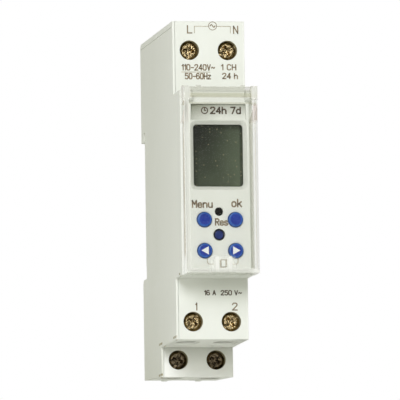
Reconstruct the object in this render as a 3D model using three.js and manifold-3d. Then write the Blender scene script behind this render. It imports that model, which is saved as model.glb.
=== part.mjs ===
// A one-module timer for a 35 mm DIN rail, as separate pieces: the moulded housing and its side cover, the
// front panel with display and buttons under a clear hinged cover, six rising-cage terminals, the rail latch
// and the electronics inside.
// Millimetres. X runs across the width, the front faces -Y and Z is up. The origin is the middle of the flat
// seat that lies against the rail.
import * as THREE from 'three';
import { ConvexGeometry } from 'three/addons/geometries/ConvexGeometry.js';
import { mergeVertices } from 'three/addons/utils/BufferGeometryUtils.js';
import Module from 'manifold-3d';

const wasm = await Module();
wasm.setup();

// ---- Driving dimensions ----

const BODY = 17.8; // width of the housing
const MODULE = 18; // width over the clear cover's ears: one module
const HALF = BODY / 2;
const WALL = 1.5; // housing wall
const THINNER = 0.5; // by which the lowest wall is thinner
const SIDE_WALL = 1.2;
const GAP = 0.3; // between pieces that touch
const SNUG = 0.1; // round a piece that sits in another
const PAST = 1; // how far a cutter runs past the faces that it opens

// Side outline: heights above and below the rail's middle, depths from the rail seat.
const TOP_Z = 40.5;
const REAR_Y = 5.1;
const SHOULDER_Y = -43.2; // front of the upper and lower terminal blocks
const PANEL_HALF = 22.5; // half of the 45 mm opening that such modules show through
const MIDDLE_Y = -52.7; // front of the middle block
const LOWER_Z = -37.4; // underside of the lower terminal block
const STEP_Y = -20.7; // front of the lowest terminal block
const BOTTOM_Z = -44.7;
const BOTTOM_RISE = 1.3; // the lowest underside climbs by this much towards the rear
const CORNER = 0.9; // chamfer on the rear corners

// Rail slot: the fixed hook goes over the rail's upper edge, the latch under its lower edge.
const RAIL_TOP_Z = 17.9;
const RAIL_GAP = 1.5;
const HOOK_Z = 15.7;
const FOOT_Z = -18.5;
const SEAT = { half: 15.4, relief: 0.3 }; // the seat stands proud of the slot's ends, clear of hook and latch

// Front panel.
const FACE_Y = -56;
const FACE_HALF = 7.5;
const FACE_TOP = 20.4;
const FACE_BOTTOM = -21.5;
const FACE_THICK = 1.2;
const SKIRT_Y = -51;
const SKIRT_WALL = 0.7;
const PANEL_MARGIN = 0.1; // by which the skirt is smaller than the face, all round
const DISPLAY = { z: 6.25, half: 5.75, halfTall: 7.22, y: -54.4, slope: 1.2, corner: 0.7, frontCorner: 1.3 };
const STRIP = { half: 6.75, low: 14.85, high: 18.75, deep: 0.8 }; // recessed name strip

// Clear cover.
const COVER = { front: -60, rear: -53, top: 22.5, bottom: -22.7, wall: 0.95, half: 8.9, lip: 2 };
const COVER_SIDE = { rearTop: 14.3, frontTop: 18 }; // the side walls stop on a slope below the ears
const HINGE = { y: -56.6, z: 20.7, ear: 2.4, pin: 0.55, hole: 0.85, lug: 1.35, lugWide: 1 };
const TAB = { half: 3.1, halfTop: 1.9, shoulder: -21.1, top: -18.7, proud: 0.9 }; // finger tab
const TAB_SLOT = { half: 0.6, low: -21.3, high: -19.7 };
// Two stops on the cover's top edge.
const BUMP = { inner: 4.8, outer: 6, front: 0.2, rear: 1.6, below: 0.5, above: 0.35 };

// Controls.
const BUTTON_X = 3.8;
const BUTTONS = [
  { name: 'menu', x: -BUTTON_X, z: -9.45, r: 1.77, proud: 0.85 },
  { name: 'ok', x: BUTTON_X, z: -9.45, r: 1.77, proud: 0.85 },
  { name: 'left', x: -BUTTON_X, z: -17, r: 1.77, proud: 0.85 },
  { name: 'right', x: BUTTON_X, z: -17, r: 1.77, proud: 0.85 },
  { name: 'reset', x: -0.2, z: -13.1, r: 1.3, proud: -0.4 },
];
const BUTTON_FIT = 0.15; // round a cap in its hole
const FLANGE = { wider: 0.45, thick: 0.6, stem: 1.1 }; // behind the panel, where the cap can't fall out
const INDICATOR = { x: -0.2, z: -7.5, r: 0.95 };

// Terminals: side is -1 on the left and 1 on the right, in is the direction towards the middle of the
// housing, and turn is how far round the screw's slot stands.
const TERMINAL_X = 4.7;
const TERMINALS = [
  { name: 'live', side: -1, z: 33.35, front: SHOULDER_Y, in: -1, edge: TOP_Z, turn: 5 },
  { name: 'neutral', side: 1, z: 33.35, front: SHOULDER_Y, in: -1, edge: TOP_Z, turn: 62 },
  { name: 'front_left', side: -1, z: -33.05, front: SHOULDER_Y, in: 1, edge: LOWER_Z, turn: 35 },
  { name: 'front_right', side: 1, z: -33.05, front: SHOULDER_Y, in: 1, edge: LOWER_Z, turn: 50 },
  { name: 'low_left', side: -1, z: -40.45, front: STEP_Y, in: 1, edge: BOTTOM_Z, turn: 20 },
  { name: 'low_right', side: 1, z: -40.45, front: STEP_Y, in: 1, edge: BOTTOM_Z, turn: 28 },
];
const SCREW = { head: 2.15, headY: 1.2, headTall: 2, shank: 1.7, tip: 10 };
const WELL = { hole: 2.4, outer: 2.95, floor: 3.5, end: 4.6, shankHole: 1.9 }; // holds the screw's head
const CAGE = { half: 2.85, wall: 0.7, tall: 2.2, front: 8.2, thick: 1.3, rear: 17.4, rearThick: 1.2 };
const BAR = { front: 10.3, thick: 1, half: 1.9, clampEnd: 2.3, leftEnd: 25, rightEnd: 27.6, foot: 1.3 };
// The wire entry is an oblong hole behind the block's front, from one centre to the other.
const WIRE = { front: 7.5, rear: 13.75, r: 2.5, funnel: 2.95, funnelDeep: 0.5 };

// Rail latch.
const LATCH = { half: 3.3, front: 1.2, rear: 3.9, low: -43, nose: -15.9, ramp: 2.4, tip: 0.4 };
const GUIDE = { wall: 1.6, lip: 1 }; // the channel that the latch runs in
const SPRING = { low: -33.4, high: -26, r: 1.05, wire: 0.4, turns: 6, peg: 1.2, room: 0.45 };
const PULL_SLOT = { half: 1.6, low: 1.6, high: 3.1 }; // for a screwdriver's tip, up from the latch's end

// Boards.
const MAIN_BOARD = { x: 5.9, thick: 1.2, front: -41, rear: -2.2, halfTall: 27 };
const DISPLAY_BOARD = { y: -50.2, thick: 1, half: 7.2, halfTall: 20.6 };

// ---- Materials ----

const finish = (color, roughness, metalness = 0) =>
  new THREE.MeshStandardMaterial({ color, roughness, metalness });
const white = finish(0xeef0ea, 0.45);
const clear = finish(0xf4f6f4, 0.1);
clear.transparent = true;
clear.opacity = 0.3;
const display = finish(0x394036, 0.15);
const blue = finish(0x2447a8, 0.35);
const black = finish(0x1b1b1d, 0.35);
const grey = finish(0x8b8f92, 0.5);
const rubber = finish(0x44403c, 0.8);
const board = finish(0x1f6b3a, 0.6);
const steel = finish(0xb8bbbd, 0.35, 1);
const brass = finish(0xa98b4d, 0.35, 1);
const copper = finish(0xb4774d, 0.35, 1);
const yellow = finish(0xd9b13a, 0.45);
const sleeve = finish(0x22344f, 0.4);

// ---- Shape helpers ----

const X = new THREE.Vector3(1, 0, 0);
const Y = new THREE.Vector3(0, 1, 0);
const Z = new THREE.Vector3(0, 0, 1);

// A three.js geometry as a manifold solid, without the triangles that collapse on a lathe's axis.
const solid = (geometry) => {
  const plain = geometry.clone();
  plain.deleteAttribute('normal');
  plain.deleteAttribute('uv');
  const merged = mergeVertices(plain);
  const corners = merged.index.array;
  const kept = [];
  for (let i = 0; i < corners.length; i += 3) {
    const [a, b, c] = corners.slice(i, i + 3);
    if (a !== b && b !== c && c !== a) kept.push(a, b, c);
  }
  const vertProperties = new Float32Array(merged.attributes.position.array);
  return new wasm.Manifold(new wasm.Mesh({ numProp: 3, vertProperties, triVerts: new Uint32Array(kept) }));
};

const add = (first, ...others) => others.reduce((sum, other) => sum.add(other), first);
const cut = (first, ...others) => others.reduce((rest, other) => rest.subtract(other), first);
const hull = (pieces) => wasm.Manifold.hull(pieces);

const box = ([x0, x1], [y0, y1], [z0, z1]) => {
  const geometry = new THREE.BoxGeometry(x1 - x0, y1 - y0, z1 - z0);
  return solid(geometry.translate((x0 + x1) / 2, (y0 + y1) / 2, (z0 + z1) / 2));
};

// An outline of [y, z] points, filled between two X planes.
const acrossX = (outline, x0, x1) => {
  const shape = new THREE.Shape(outline.map(([y, z]) => new THREE.Vector2(y, z)));
  const geometry = new THREE.ExtrudeGeometry(shape, { depth: x1 - x0, bevelEnabled: false });
  return solid(geometry.applyMatrix4(new THREE.Matrix4().makeBasis(Y, Z, X)).translate(x0, 0, 0));
};

// A shape drawn in X and Z, filled from its front plane back to its rear plane.
const alongY = (shape, front, rear) => {
  const depth = rear - front;
  const geometry = new THREE.ExtrudeGeometry(shape, { depth, bevelEnabled: false, curveSegments: 4 });
  const upright = new THREE.Matrix4().makeBasis(X, Z, Y.clone().negate());
  return solid(geometry.applyMatrix4(upright).translate(0, rear, 0));
};

const polygon = (points) => new THREE.Shape(points.map(([x, z]) => new THREE.Vector2(x, z)));

const roundedRect = (halfWide, halfTall, z, r) =>
  new THREE.Shape()
    .moveTo(-halfWide + r, z - halfTall)
    .lineTo(halfWide - r, z - halfTall)
    .absarc(halfWide - r, z - halfTall + r, r, -Math.PI / 2, 0)
    .lineTo(halfWide, z + halfTall - r)
    .absarc(halfWide - r, z + halfTall - r, r, 0, Math.PI / 2)
    .lineTo(-halfWide + r, z + halfTall)
    .absarc(-halfWide + r, z + halfTall - r, r, Math.PI / 2, Math.PI)
    .lineTo(-halfWide, z - halfTall + r)
    .absarc(-halfWide + r, z - halfTall + r, r, Math.PI, 1.5 * Math.PI);

const rodY = (r, y0, y1, x = 0, z = 0, sides = 24) =>
  solid(new THREE.CylinderGeometry(r, r, y1 - y0, sides).translate(x, (y0 + y1) / 2, z));
const rodX = (r, x0, x1, y, z, sides = 20) =>
  solid(new THREE.CylinderGeometry(r, r, x1 - x0, sides).rotateZ(Math.PI / 2).translate((x0 + x1) / 2, y, z));
const rodZ = (r, z0, z1, x, y, sides = 20) =>
  solid(new THREE.CylinderGeometry(r, r, z1 - z0, sides).rotateX(Math.PI / 2).translate(x, y, (z0 + z1) / 2));

// An oblong wire entry with a short funnel at its mouth. face is the front of its block, and end is the
// level that it opens through.
const wireEntry = (x, face, middle, end) => {
  const way = Math.sign(end - middle);
  const low = Math.min(middle, end + way * PAST);
  const high = Math.max(middle, end + way * PAST);
  const deep = WIRE.funnelDeep;
  const [below, above] = way > 0 ? [WIRE.r, WIRE.funnel] : [WIRE.funnel, WIRE.r];
  const cone = (y) => solid(
    new THREE.CylinderGeometry(above, below, deep, 20)
      .rotateX(Math.PI / 2)
      .translate(x, y, end - (way * deep) / 2 + way * 0.001),
  );
  const ends = [face + WIRE.front, face + WIRE.rear];
  return add(hull(ends.map((y) => rodZ(WIRE.r, low, high, x, y))), hull(ends.map(cone)));
};

// A profile of [radius, y] points turned about the Y axis, listed from the front to the rear.
const turned = (profile, sides = 20) =>
  solid(new THREE.LatheGeometry(profile.map(([r, y]) => new THREE.Vector2(r, y)), sides));

// An outline that runs anticlockwise, moved inwards by a distance.
const inset = (outline, distance) =>
  outline.map((point, i) => {
    const before = outline[(i + outline.length - 1) % outline.length];
    const after = outline[(i + 1) % outline.length];
    const arrive = new THREE.Vector2(point[0] - before[0], point[1] - before[1]).normalize();
    const leave = new THREE.Vector2(after[0] - point[0], after[1] - point[1]).normalize();
    const mitre = distance / (1 + arrive.dot(leave));
    return [point[0] - mitre * (arrive.y + leave.y), point[1] + mitre * (arrive.x + leave.x)];
  });

const part = (name, shape, material, x = 0, y = 0, z = 0) => {
  const { vertProperties, triVerts } = shape.getMesh();
  const geometry = new THREE.BufferGeometry();
  geometry.setAttribute('position', new THREE.BufferAttribute(vertProperties, 3));
  geometry.setIndex(new THREE.BufferAttribute(triVerts, 1));
  geometry.computeVertexNormals();
  const mesh = new THREE.Mesh(geometry, material);
  mesh.name = name;
  mesh.position.set(x, y, z);
  return mesh;
};

// ---- Housing ----

const frontOutline = [
  [SHOULDER_Y, TOP_Z],
  [SHOULDER_Y, PANEL_HALF],
  [MIDDLE_Y, PANEL_HALF],
  [MIDDLE_Y, -PANEL_HALF],
  [SHOULDER_Y, -PANEL_HALF],
  [SHOULDER_Y, LOWER_Z],
  [STEP_Y, LOWER_Z],
];
const bodyOutline = [
  ...frontOutline,
  [STEP_Y, BOTTOM_Z],
  [REAR_Y, BOTTOM_Z + BOTTOM_RISE],
  [REAR_Y, FOOT_Z - CORNER],
  [REAR_Y - CORNER, FOOT_Z],
  [-SEAT.relief, FOOT_Z],
  [-SEAT.relief, -SEAT.half],
  [0, -SEAT.half],
  [0, SEAT.half],
  [-SEAT.relief, SEAT.half],
  [-SEAT.relief, RAIL_TOP_Z],
  [RAIL_GAP, RAIL_TOP_Z],
  [RAIL_GAP, HOOK_Z],
  [REAR_Y, HOOK_Z],
  [REAR_Y, TOP_Z - CORNER],
  [REAR_Y - CORNER, TOP_Z],
];
// The hollow leaves the hook solid, and the lowest wall is thinner than the rest.
const hollowOutline = inset(
  [
    ...frontOutline,
    [STEP_Y, BOTTOM_Z - THINNER],
    [REAR_Y, BOTTOM_Z + BOTTOM_RISE - THINNER],
    [REAR_Y, FOOT_Z],
    [0, FOOT_Z],
    [0, RAIL_TOP_Z],
    [REAR_Y, RAIL_TOP_Z],
    [REAR_Y, TOP_Z],
  ],
  WALL,
);

// The side cover's edge shows from the front as a thin strip, and its lip sits inside the shell's walls.
const SEAM_X = -HALF + 0.6;
const SEAM_GAP = 0.05;
const LIP = { long: 0.5, fit: 0.15 };

// Snaps on the shell that show as small tabs at the side cover's edges.
const SNAP = { long: 2.4, tall: 0.8, sunk: 0.25, root: 1 };
const SNAPS = [
  [-50.2, -PANEL_HALF],
  [-42.6, LOWER_Z],
  [-25.4, LOWER_Z],
  [-19.9, BOTTOM_Z],
  [-38, TOP_Z - SNAP.tall],
  [-6, TOP_Z - SNAP.tall],
];
const snap = ([y, z], room) =>
  box([-HALF + SNAP.sunk - room, SEAM_X + SNAP.root], [y - room, y + SNAP.long + room],
    [z - room, z + SNAP.tall + room]);

// The latch runs in a T-shaped channel that opens at the foot, the underside and the rear.
const latchBlock = () => {
  const half = LATCH.half + GUIDE.wall;
  return box([-half, half], [LATCH.front - GUIDE.wall, REAR_Y - CORNER], [BOTTOM_Z + 1, FOOT_Z - CORNER]);
};
const latchChannel = () => {
  const wide = LATCH.half + GAP;
  const mouth = LATCH.half - GUIDE.lip;
  const length = [BOTTOM_Z - PAST, FOOT_Z + PAST];
  return add(
    box([-wide, wide], [LATCH.front - GAP, LATCH.rear + GAP], length),
    box([-mouth, mouth], [LATCH.rear, REAR_Y + PAST], length),
  );
};
const springPeg = () => {
  const top = SPRING.low - GAP;
  return box([-1, 1], [LATCH.front - 1, LATCH.rear - 0.5], [top - SPRING.peg, top]);
};

const housingShell = () => {
  let shell = acrossX(bodyOutline, SEAM_X + SEAM_GAP, HALF);
  shell = cut(shell, acrossX(hollowOutline, -HALF, HALF - SIDE_WALL));
  shell = add(shell, latchBlock(), ...SNAPS.map((place) => snap(place, 0)));
  for (const t of TERMINALS) {
    shell = add(shell, rodY(WELL.outer, t.front + WALL / 2, t.front + WELL.end, t.side * TERMINAL_X, t.z));
  }
  for (const t of TERMINALS) {
    const x = t.side * TERMINAL_X;
    shell = cut(
      shell,
      rodY(WELL.hole, t.front - PAST, t.front + WELL.floor, x, t.z),
      rodY(WELL.shankHole, t.front, t.front + WELL.end + PAST, x, t.z),
      wireEntry(x, t.front, t.z, t.edge),
    );
  }
  const side = FACE_HALF + SNUG / 2;
  const opening = [FACE_BOTTOM - SNUG, FACE_TOP + SNUG];
  shell = cut(shell, box([-side, side], [MIDDLE_Y - PAST, MIDDLE_Y + WALL + PAST], opening));
  return add(cut(shell, latchChannel()), springPeg());
};

// A fine line and a small notch run below the upper edge of the side cover.
const LINE = { deep: 0.15, low: TOP_Z - 1.5, high: TOP_Z - 1.3, front: SHOULDER_Y + 1, rear: REAR_Y - 1.5 };
const NOTCH = { deep: 0.3, low: TOP_Z - 1.9, high: TOP_Z - 1.2, front: -22.5, rear: -21.7 };

const sideCover = () => {
  const plate = acrossX(bodyOutline, -HALF, SEAM_X);
  const lip = acrossX(inset(hollowOutline, LIP.fit), SEAM_X, SEAM_X + LIP.long);
  const marks = [LINE, NOTCH].map(({ deep, front, rear, low, high }) =>
    box([-HALF - PAST, -HALF + deep], [front, rear], [low, high]));
  return cut(add(plate, lip), ...marks, ...SNAPS.map((place) => snap(place, SNUG)));
};

// ---- Front panel ----

const faceplate = () => {
  const back = FACE_Y + FACE_THICK;
  const skirtHalf = FACE_HALF - PANEL_MARGIN;
  const skirt = [FACE_BOTTOM + PANEL_MARGIN, FACE_TOP - PANEL_MARGIN];
  let plate = add(
    box([-FACE_HALF, FACE_HALF], [FACE_Y, back], [FACE_BOTTOM, FACE_TOP]),
    box([-skirtHalf, skirtHalf], [back - FACE_THICK / 2, SKIRT_Y], skirt),
  );
  const inner = skirtHalf - SKIRT_WALL;
  plate = cut(
    plate,
    box([-inner, inner], [back, SKIRT_Y + PAST], [skirt[0] + SKIRT_WALL, skirt[1] - SKIRT_WALL]),
    displayBezel(),
    box([-STRIP.half, STRIP.half], [FACE_Y - PAST, FACE_Y + STRIP.deep], [STRIP.low, STRIP.high]),
    rodY(INDICATOR.r + SNUG, FACE_Y - PAST, back + PAST, INDICATOR.x, INDICATOR.z, 16),
    ...BUTTONS.map((b) => rodY(b.r + BUTTON_FIT, FACE_Y - PAST, back + PAST, b.x, b.z)),
  );
  for (const side of [-1, 1]) {
    const middle = side * (FACE_HALF - HINGE.lugWide / 2);
    const [x0, x1] = [middle - HINGE.lugWide / 2, middle + HINGE.lugWide / 2];
    const foot = box([x0, x1], [HINGE.y, back], [FACE_TOP - 1, HINGE.z + GAP]);
    plate = add(plate, rodX(HINGE.lug, x0, x1, HINGE.y, HINGE.z), foot);
    plate = cut(plate, rodX(HINGE.hole, x0 - PAST, x1 + PAST, HINGE.y, HINGE.z, 16));
  }
  return plate;
};

// The display's opening, with rounded corners and four sides that slope in from the front.
const displayBezel = () => {
  const { z, half, halfTall, y, slope, corner, frontCorner } = DISPLAY;
  const ring = (extra, r, depth) => {
    const outline = roundedRect(half + extra, halfTall + extra, z, r).getPoints(4);
    return outline.map((p) => new THREE.Vector3(p.x, depth, p.y));
  };
  const slopes = new ConvexGeometry([...ring(slope, frontCorner, FACE_Y - 0.001), ...ring(0, corner, y)]);
  return add(solid(slopes), alongY(roundedRect(half, halfTall, z, corner), FACE_Y - PAST, SKIRT_Y));
};

// ---- Clear cover ----

const flipCover = () => {
  const { front, rear, top, bottom, wall, half, lip } = COVER;
  const ear = MODULE / 2;
  const inner = half - wall;
  let cover = add(
    box([-half, half], [front, front + wall], [bottom, top]),
    box([-half, half], [front, rear], [bottom, bottom + wall]),
    box([-half, half], [front, front + lip], [top - wall, top]),
  );
  const side = [[front, bottom], [rear, bottom], [rear, COVER_SIDE.rearTop], [front, COVER_SIDE.frontTop]];
  for (const s of [-1, 1]) {
    const span = (a, b) => (s < 0 ? [-b, -a] : [a, b]);
    const earX = span(inner, ear);
    const pinX = span(FACE_HALF + SNUG * 2 - HINGE.lugWide, inner + wall / 2);
    const bumpZ = [top - BUMP.below, top + BUMP.above];
    cover = add(
      cover,
      acrossX(side, ...span(inner, half)),
      rodX(HINGE.ear, ...earX, HINGE.y, HINGE.z, 28),
      box(earX, [front, HINGE.y], [HINGE.z - 1.5, HINGE.z + HINGE.ear - 0.4]),
      rodX(HINGE.pin, ...pinX, HINGE.y, HINGE.z, 14),
      box(span(BUMP.inner, BUMP.outer), [front + BUMP.front, front + BUMP.rear], bumpZ),
    );
  }
  const tab = polygon([
    [-TAB.half, bottom],
    [TAB.half, bottom],
    [TAB.half, TAB.shoulder],
    [TAB.halfTop, TAB.top],
    [-TAB.halfTop, TAB.top],
    [-TAB.half, TAB.shoulder],
  ]);
  cover = add(cover, alongY(tab, front - TAB.proud, front + wall / 2));
  const through = [front - TAB.proud - PAST, front + wall + PAST];
  return cut(cover, box([-TAB_SLOT.half, TAB_SLOT.half], through, [TAB_SLOT.low, TAB_SLOT.high]));
};

// ---- Buttons and switches ----

const FLANGE_Y = FACE_Y + FACE_THICK + GAP;
const STEM_END = -52.7;
const PLUNGER = { r: 0.8, front: STEM_END + GAP, rear: -51.3 };
const SWITCH = { half: 1.65, front: -51.9, rear: DISPLAY_BOARD.y - SNUG, floor: 0.25 };

// Turned about the Y axis, with y = 0 on the panel's face.
const buttonCap = ({ r, proud }) => {
  const flange = FLANGE_Y - FACE_Y;
  const end = STEM_END - FACE_Y;
  return turned([
    [0, -proud],
    [r * 0.6, -proud + 0.04],
    [r * 0.86, -proud + 0.15],
    [r, -proud + 0.4],
    [r, flange],
    [r + FLANGE.wider, flange],
    [r + FLANGE.wider, flange + FLANGE.thick],
    [FLANGE.stem, flange + FLANGE.thick],
    [FLANGE.stem, end],
    [0, end],
  ]);
};

const switchBody = () =>
  cut(
    box([-SWITCH.half, SWITCH.half], [SWITCH.front, SWITCH.rear], [-SWITCH.half, SWITCH.half]),
    rodY(PLUNGER.r + SNUG * 2, SWITCH.front - PAST, SWITCH.rear - SWITCH.floor, 0, 0, 16),
  );

const indicatorLight = () => {
  const { r } = INDICATOR;
  const foot = DISPLAY_BOARD.y - SNUG;
  const collar = r + 0.15;
  return turned([[0, FACE_Y + 0.1], [r * 0.6, FACE_Y + 0.2], [r * 0.9, FACE_Y + 0.5], [r * 0.9, foot - 1],
    [collar, foot - 1], [collar, foot], [0, foot]], 16);
};

// ---- Terminals, with y = 0 on the block's front and z = 0 on the screw's axis ----

const terminalScrew = (turn) => {
  const { head, headY, headTall, shank, tip } = SCREW;
  const blank = turned([
    [0, headY],
    [head - 0.4, headY],
    [head, headY + 0.35],
    [head, headY + headTall],
    [shank, headY + headTall],
    [shank, tip - 0.5],
    [shank - 0.5, tip],
    [0, tip],
  ]);
  const slot = box([-0.4, 0.4], [headY - PAST, headY + 0.9], [-head - PAST, head + PAST]);
  const cross = box([-1.35, 1.35], [headY - PAST, headY + 1.3], [-0.45, 0.45]);
  return cut(blank, slot, cross).rotate([0, turn, 0]);
};

const terminalCage = () => {
  const { half, wall, tall, front, thick, rear, rearThick } = CAGE;
  const block = box([-half, half], [front, rear], [-tall, tall]);
  const inner = half - wall;
  const way = box([-inner, inner], [front + thick, rear - rearThick], [-tall - PAST, tall + PAST]);
  return cut(block, way, rodY(SCREW.shank + SNUG * 2, front - PAST, front + thick + PAST));
};

// A flat bar that runs from the clamp towards the main board; the left one reaches across to it.
const contactBar = ({ side, in: inwards, z }) => {
  const end = -inwards * (side < 0 ? BAR.leftEnd : BAR.rightEnd) - z;
  const foot = end - inwards * BAR.foot;
  const start = -inwards * BAR.clampEnd;
  const reach = Math.max(MAIN_BOARD.x - GAP - side * TERMINAL_X, BAR.half);
  const outline = [[-BAR.half, start], [BAR.half, start], [BAR.half, foot]];
  if (reach > BAR.half) outline.push([reach, foot], [reach, end]);
  else outline.push([BAR.half, end]);
  return alongY(polygon(outline.concat([[-BAR.half, end]])), BAR.front, BAR.front + BAR.thick);
};

// ---- Rail latch ----

const dinLatch = () => {
  const { half, front, rear, low, nose, ramp, tip } = LATCH;
  const side = [[front, low], [rear, low], [rear, nose + ramp], [front + tip, nose], [front, nose]];
  const through = [front - PAST, rear + PAST];
  const room = SPRING.r + SPRING.room;
  const window = box([-room, room], through, [SPRING.low - GAP - SPRING.peg - GAP, SPRING.high + GAP]);
  const pull = box([-PULL_SLOT.half, PULL_SLOT.half], through, [low + PULL_SLOT.low, low + PULL_SLOT.high]);
  return cut(acrossX(side, -half, half), window, pull);
};

class Helix extends THREE.Curve {
  getPoint(t, target = new THREE.Vector3()) {
    const angle = t * SPRING.turns * 2 * Math.PI;
    const low = SPRING.low + SPRING.wire / 2;
    const high = SPRING.high - SPRING.wire / 2;
    const middle = (LATCH.front + LATCH.rear) / 2;
    const [x, y] = [SPRING.r * Math.cos(angle), SPRING.r * Math.sin(angle)];
    return target.set(x, middle + y, low + (high - low) * t);
  }
}

const latchSpring = () => {
  const wire = new THREE.Shape().absarc(0, 0, SPRING.wire / 2, 0, 2 * Math.PI);
  const steps = SPRING.turns * 12;
  return solid(new THREE.ExtrudeGeometry(wire, { steps, curveSegments: 3, extrudePath: new Helix() }));
};

// ---- The whole timer ----

const timer = new THREE.Group();
timer.add(
  part('housing_shell', housingShell(), white),
  part('side_cover', sideCover(), white),
  part('faceplate', faceplate(), white),
  part('flip_cover', flipCover(), clear),
);

for (const b of BUTTONS) {
  timer.add(
    part(`button_${b.name}`, buttonCap(b), blue, b.x, FACE_Y, b.z),
    part(`plunger_${b.name}`, rodY(PLUNGER.r, PLUNGER.front, PLUNGER.rear, 0, 0, 12), black, b.x, 0, b.z),
    part(`switch_${b.name}`, switchBody(), steel, b.x, 0, b.z),
  );
}
timer.add(part('status_led', indicatorLight(), black, INDICATOR.x, 0, INDICATOR.z));

for (const t of TERMINALS) {
  const terminal = new THREE.Group();
  terminal.position.set(t.side * TERMINAL_X, t.front, t.z);
  terminal.add(
    part(`screw_${t.name}`, terminalScrew(t.turn), brass),
    part(`cage_${t.name}`, terminalCage(), steel),
    part(`bar_${t.name}`, contactBar(t), copper),
  );
  timer.add(terminal);
}

timer.add(part('din_latch', dinLatch(), white), part('latch_spring', latchSpring(), steel));

// Display stack, from the glass back to its board.
const GLASS = { half: 6.5, low: DISPLAY.z - 8.7, high: DISPLAY.z + 8.7, front: -54.1, rear: -52.3 };
const HOLDER = [GLASS.rear + GAP, DISPLAY_BOARD.y - GAP];
const ZEBRA = { half: 5.4, near: 2.1, far: 3.6 }; // strips, in from the glass's upper and lower edges
const HOLDER_WINDOW = { half: 5.6, margin: 1.8 };
const across = ({ half }) => [-half, half];
timer.add(
  part('lcd_glass', box(across(GLASS), [GLASS.front, GLASS.rear], [GLASS.low, GLASS.high]), display),
  part('lcd_frame', cut(
    box(across(GLASS), HOLDER, [GLASS.low, GLASS.high]),
    box(across(HOLDER_WINDOW), [GLASS.rear - PAST, DISPLAY_BOARD.y + PAST],
      [GLASS.low + HOLDER_WINDOW.margin, GLASS.high - HOLDER_WINDOW.margin]),
  ), white),
  part('zebra_top', box(across(ZEBRA), HOLDER, [GLASS.high - ZEBRA.far, GLASS.high - ZEBRA.near]), rubber),
  part('zebra_bottom', box(across(ZEBRA), HOLDER, [GLASS.low + ZEBRA.near, GLASS.low + ZEBRA.far]), rubber),
  part('display_board', box(across(DISPLAY_BOARD), [DISPLAY_BOARD.y, DISPLAY_BOARD.y + DISPLAY_BOARD.thick],
    [-DISPLAY_BOARD.halfTall, DISPLAY_BOARD.halfTall]), board),
);

// Electronics. What stands on the main board starts GAP off its left face, and reaches to the left.
const ON_BOARD = MAIN_BOARD.x - GAP;
const BEHIND_DISPLAY = DISPLAY_BOARD.y + DISPLAY_BOARD.thick + 0.2;
const standing = (tall, y, z) => box([ON_BOARD - tall, ON_BOARD], y, z);
timer.add(
  part('main_board', box([MAIN_BOARD.x, MAIN_BOARD.x + MAIN_BOARD.thick], [MAIN_BOARD.front, MAIN_BOARD.rear],
    [-MAIN_BOARD.halfTall, MAIN_BOARD.halfTall]), board),
  part('board_connector', standing(2.4, [BEHIND_DISPLAY, -38], [-7, 7]), black),
  part('relay', standing(10.4, [-38.5, -20], [-24.5, -9.5]), sleeve),
  part('film_capacitor', standing(11, [-17, -4], [-24.5, -18.5]), yellow),
  part('electrolytic_capacitor', rodX(4, ON_BOARD - 12, ON_BOARD, -10, 15), sleeve),
  part('varistor', rodZ(4.5, 18, 21, ON_BOARD - 4.6, -32), blue),
  part('fusible_resistor', rodY(1.5, -29, -20, ON_BOARD - 1.7, 22.8, 14), grey),
  part('bridge_rectifier', standing(2.4, [-16, -10], [2, 7]), black),
  part('backup_battery', rodX(8, ON_BOARD - 3.2, ON_BOARD, -29.5, 3, 28), steel),
  part('microcontroller', box([-5.5, 1.5], [BEHIND_DISPLAY, BEHIND_DISPLAY + 1.4], [2, 9]), black),
  part('crystal', rodZ(1, -9, -3, -2, BEHIND_DISPLAY + 1, 12), steel),
);

export default timer;
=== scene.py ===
import math

import bmesh
import bpy
from mathutils import Matrix, Vector


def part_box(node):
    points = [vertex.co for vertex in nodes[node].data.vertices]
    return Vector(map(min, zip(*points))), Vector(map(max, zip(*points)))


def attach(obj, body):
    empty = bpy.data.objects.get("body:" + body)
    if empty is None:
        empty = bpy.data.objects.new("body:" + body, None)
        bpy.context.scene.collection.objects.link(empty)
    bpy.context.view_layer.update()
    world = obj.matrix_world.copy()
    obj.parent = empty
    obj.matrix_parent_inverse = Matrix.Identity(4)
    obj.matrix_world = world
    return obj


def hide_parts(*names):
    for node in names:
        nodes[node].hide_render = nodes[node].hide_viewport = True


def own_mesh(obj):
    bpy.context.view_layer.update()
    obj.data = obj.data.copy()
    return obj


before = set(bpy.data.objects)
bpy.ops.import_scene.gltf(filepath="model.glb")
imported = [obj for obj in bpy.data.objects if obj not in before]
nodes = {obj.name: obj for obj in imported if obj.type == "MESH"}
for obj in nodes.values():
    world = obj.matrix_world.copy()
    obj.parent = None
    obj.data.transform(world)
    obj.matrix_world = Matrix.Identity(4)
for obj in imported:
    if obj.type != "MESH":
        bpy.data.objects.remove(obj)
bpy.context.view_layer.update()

MM = 0.001
scene = bpy.context.scene

BUTTONS = ("menu", "ok", "left", "right", "reset")
TERMINALS = ("live", "neutral", "front_left", "front_right", "low_left", "low_right")
INK = 0.02  # how far printing stands off its surface, in millimetres
GRAIN = 0.03 * MM  # depth of the fine grain on mouldings


def add(name, data):
    """A new object in the scene."""
    obj = bpy.data.objects.new(name, data)
    scene.collection.objects.link(obj)
    return obj


# ---- Places, most of them read from the frame ----

def middle(node):
    low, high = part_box(node)
    return (low + high) / 2


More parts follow.
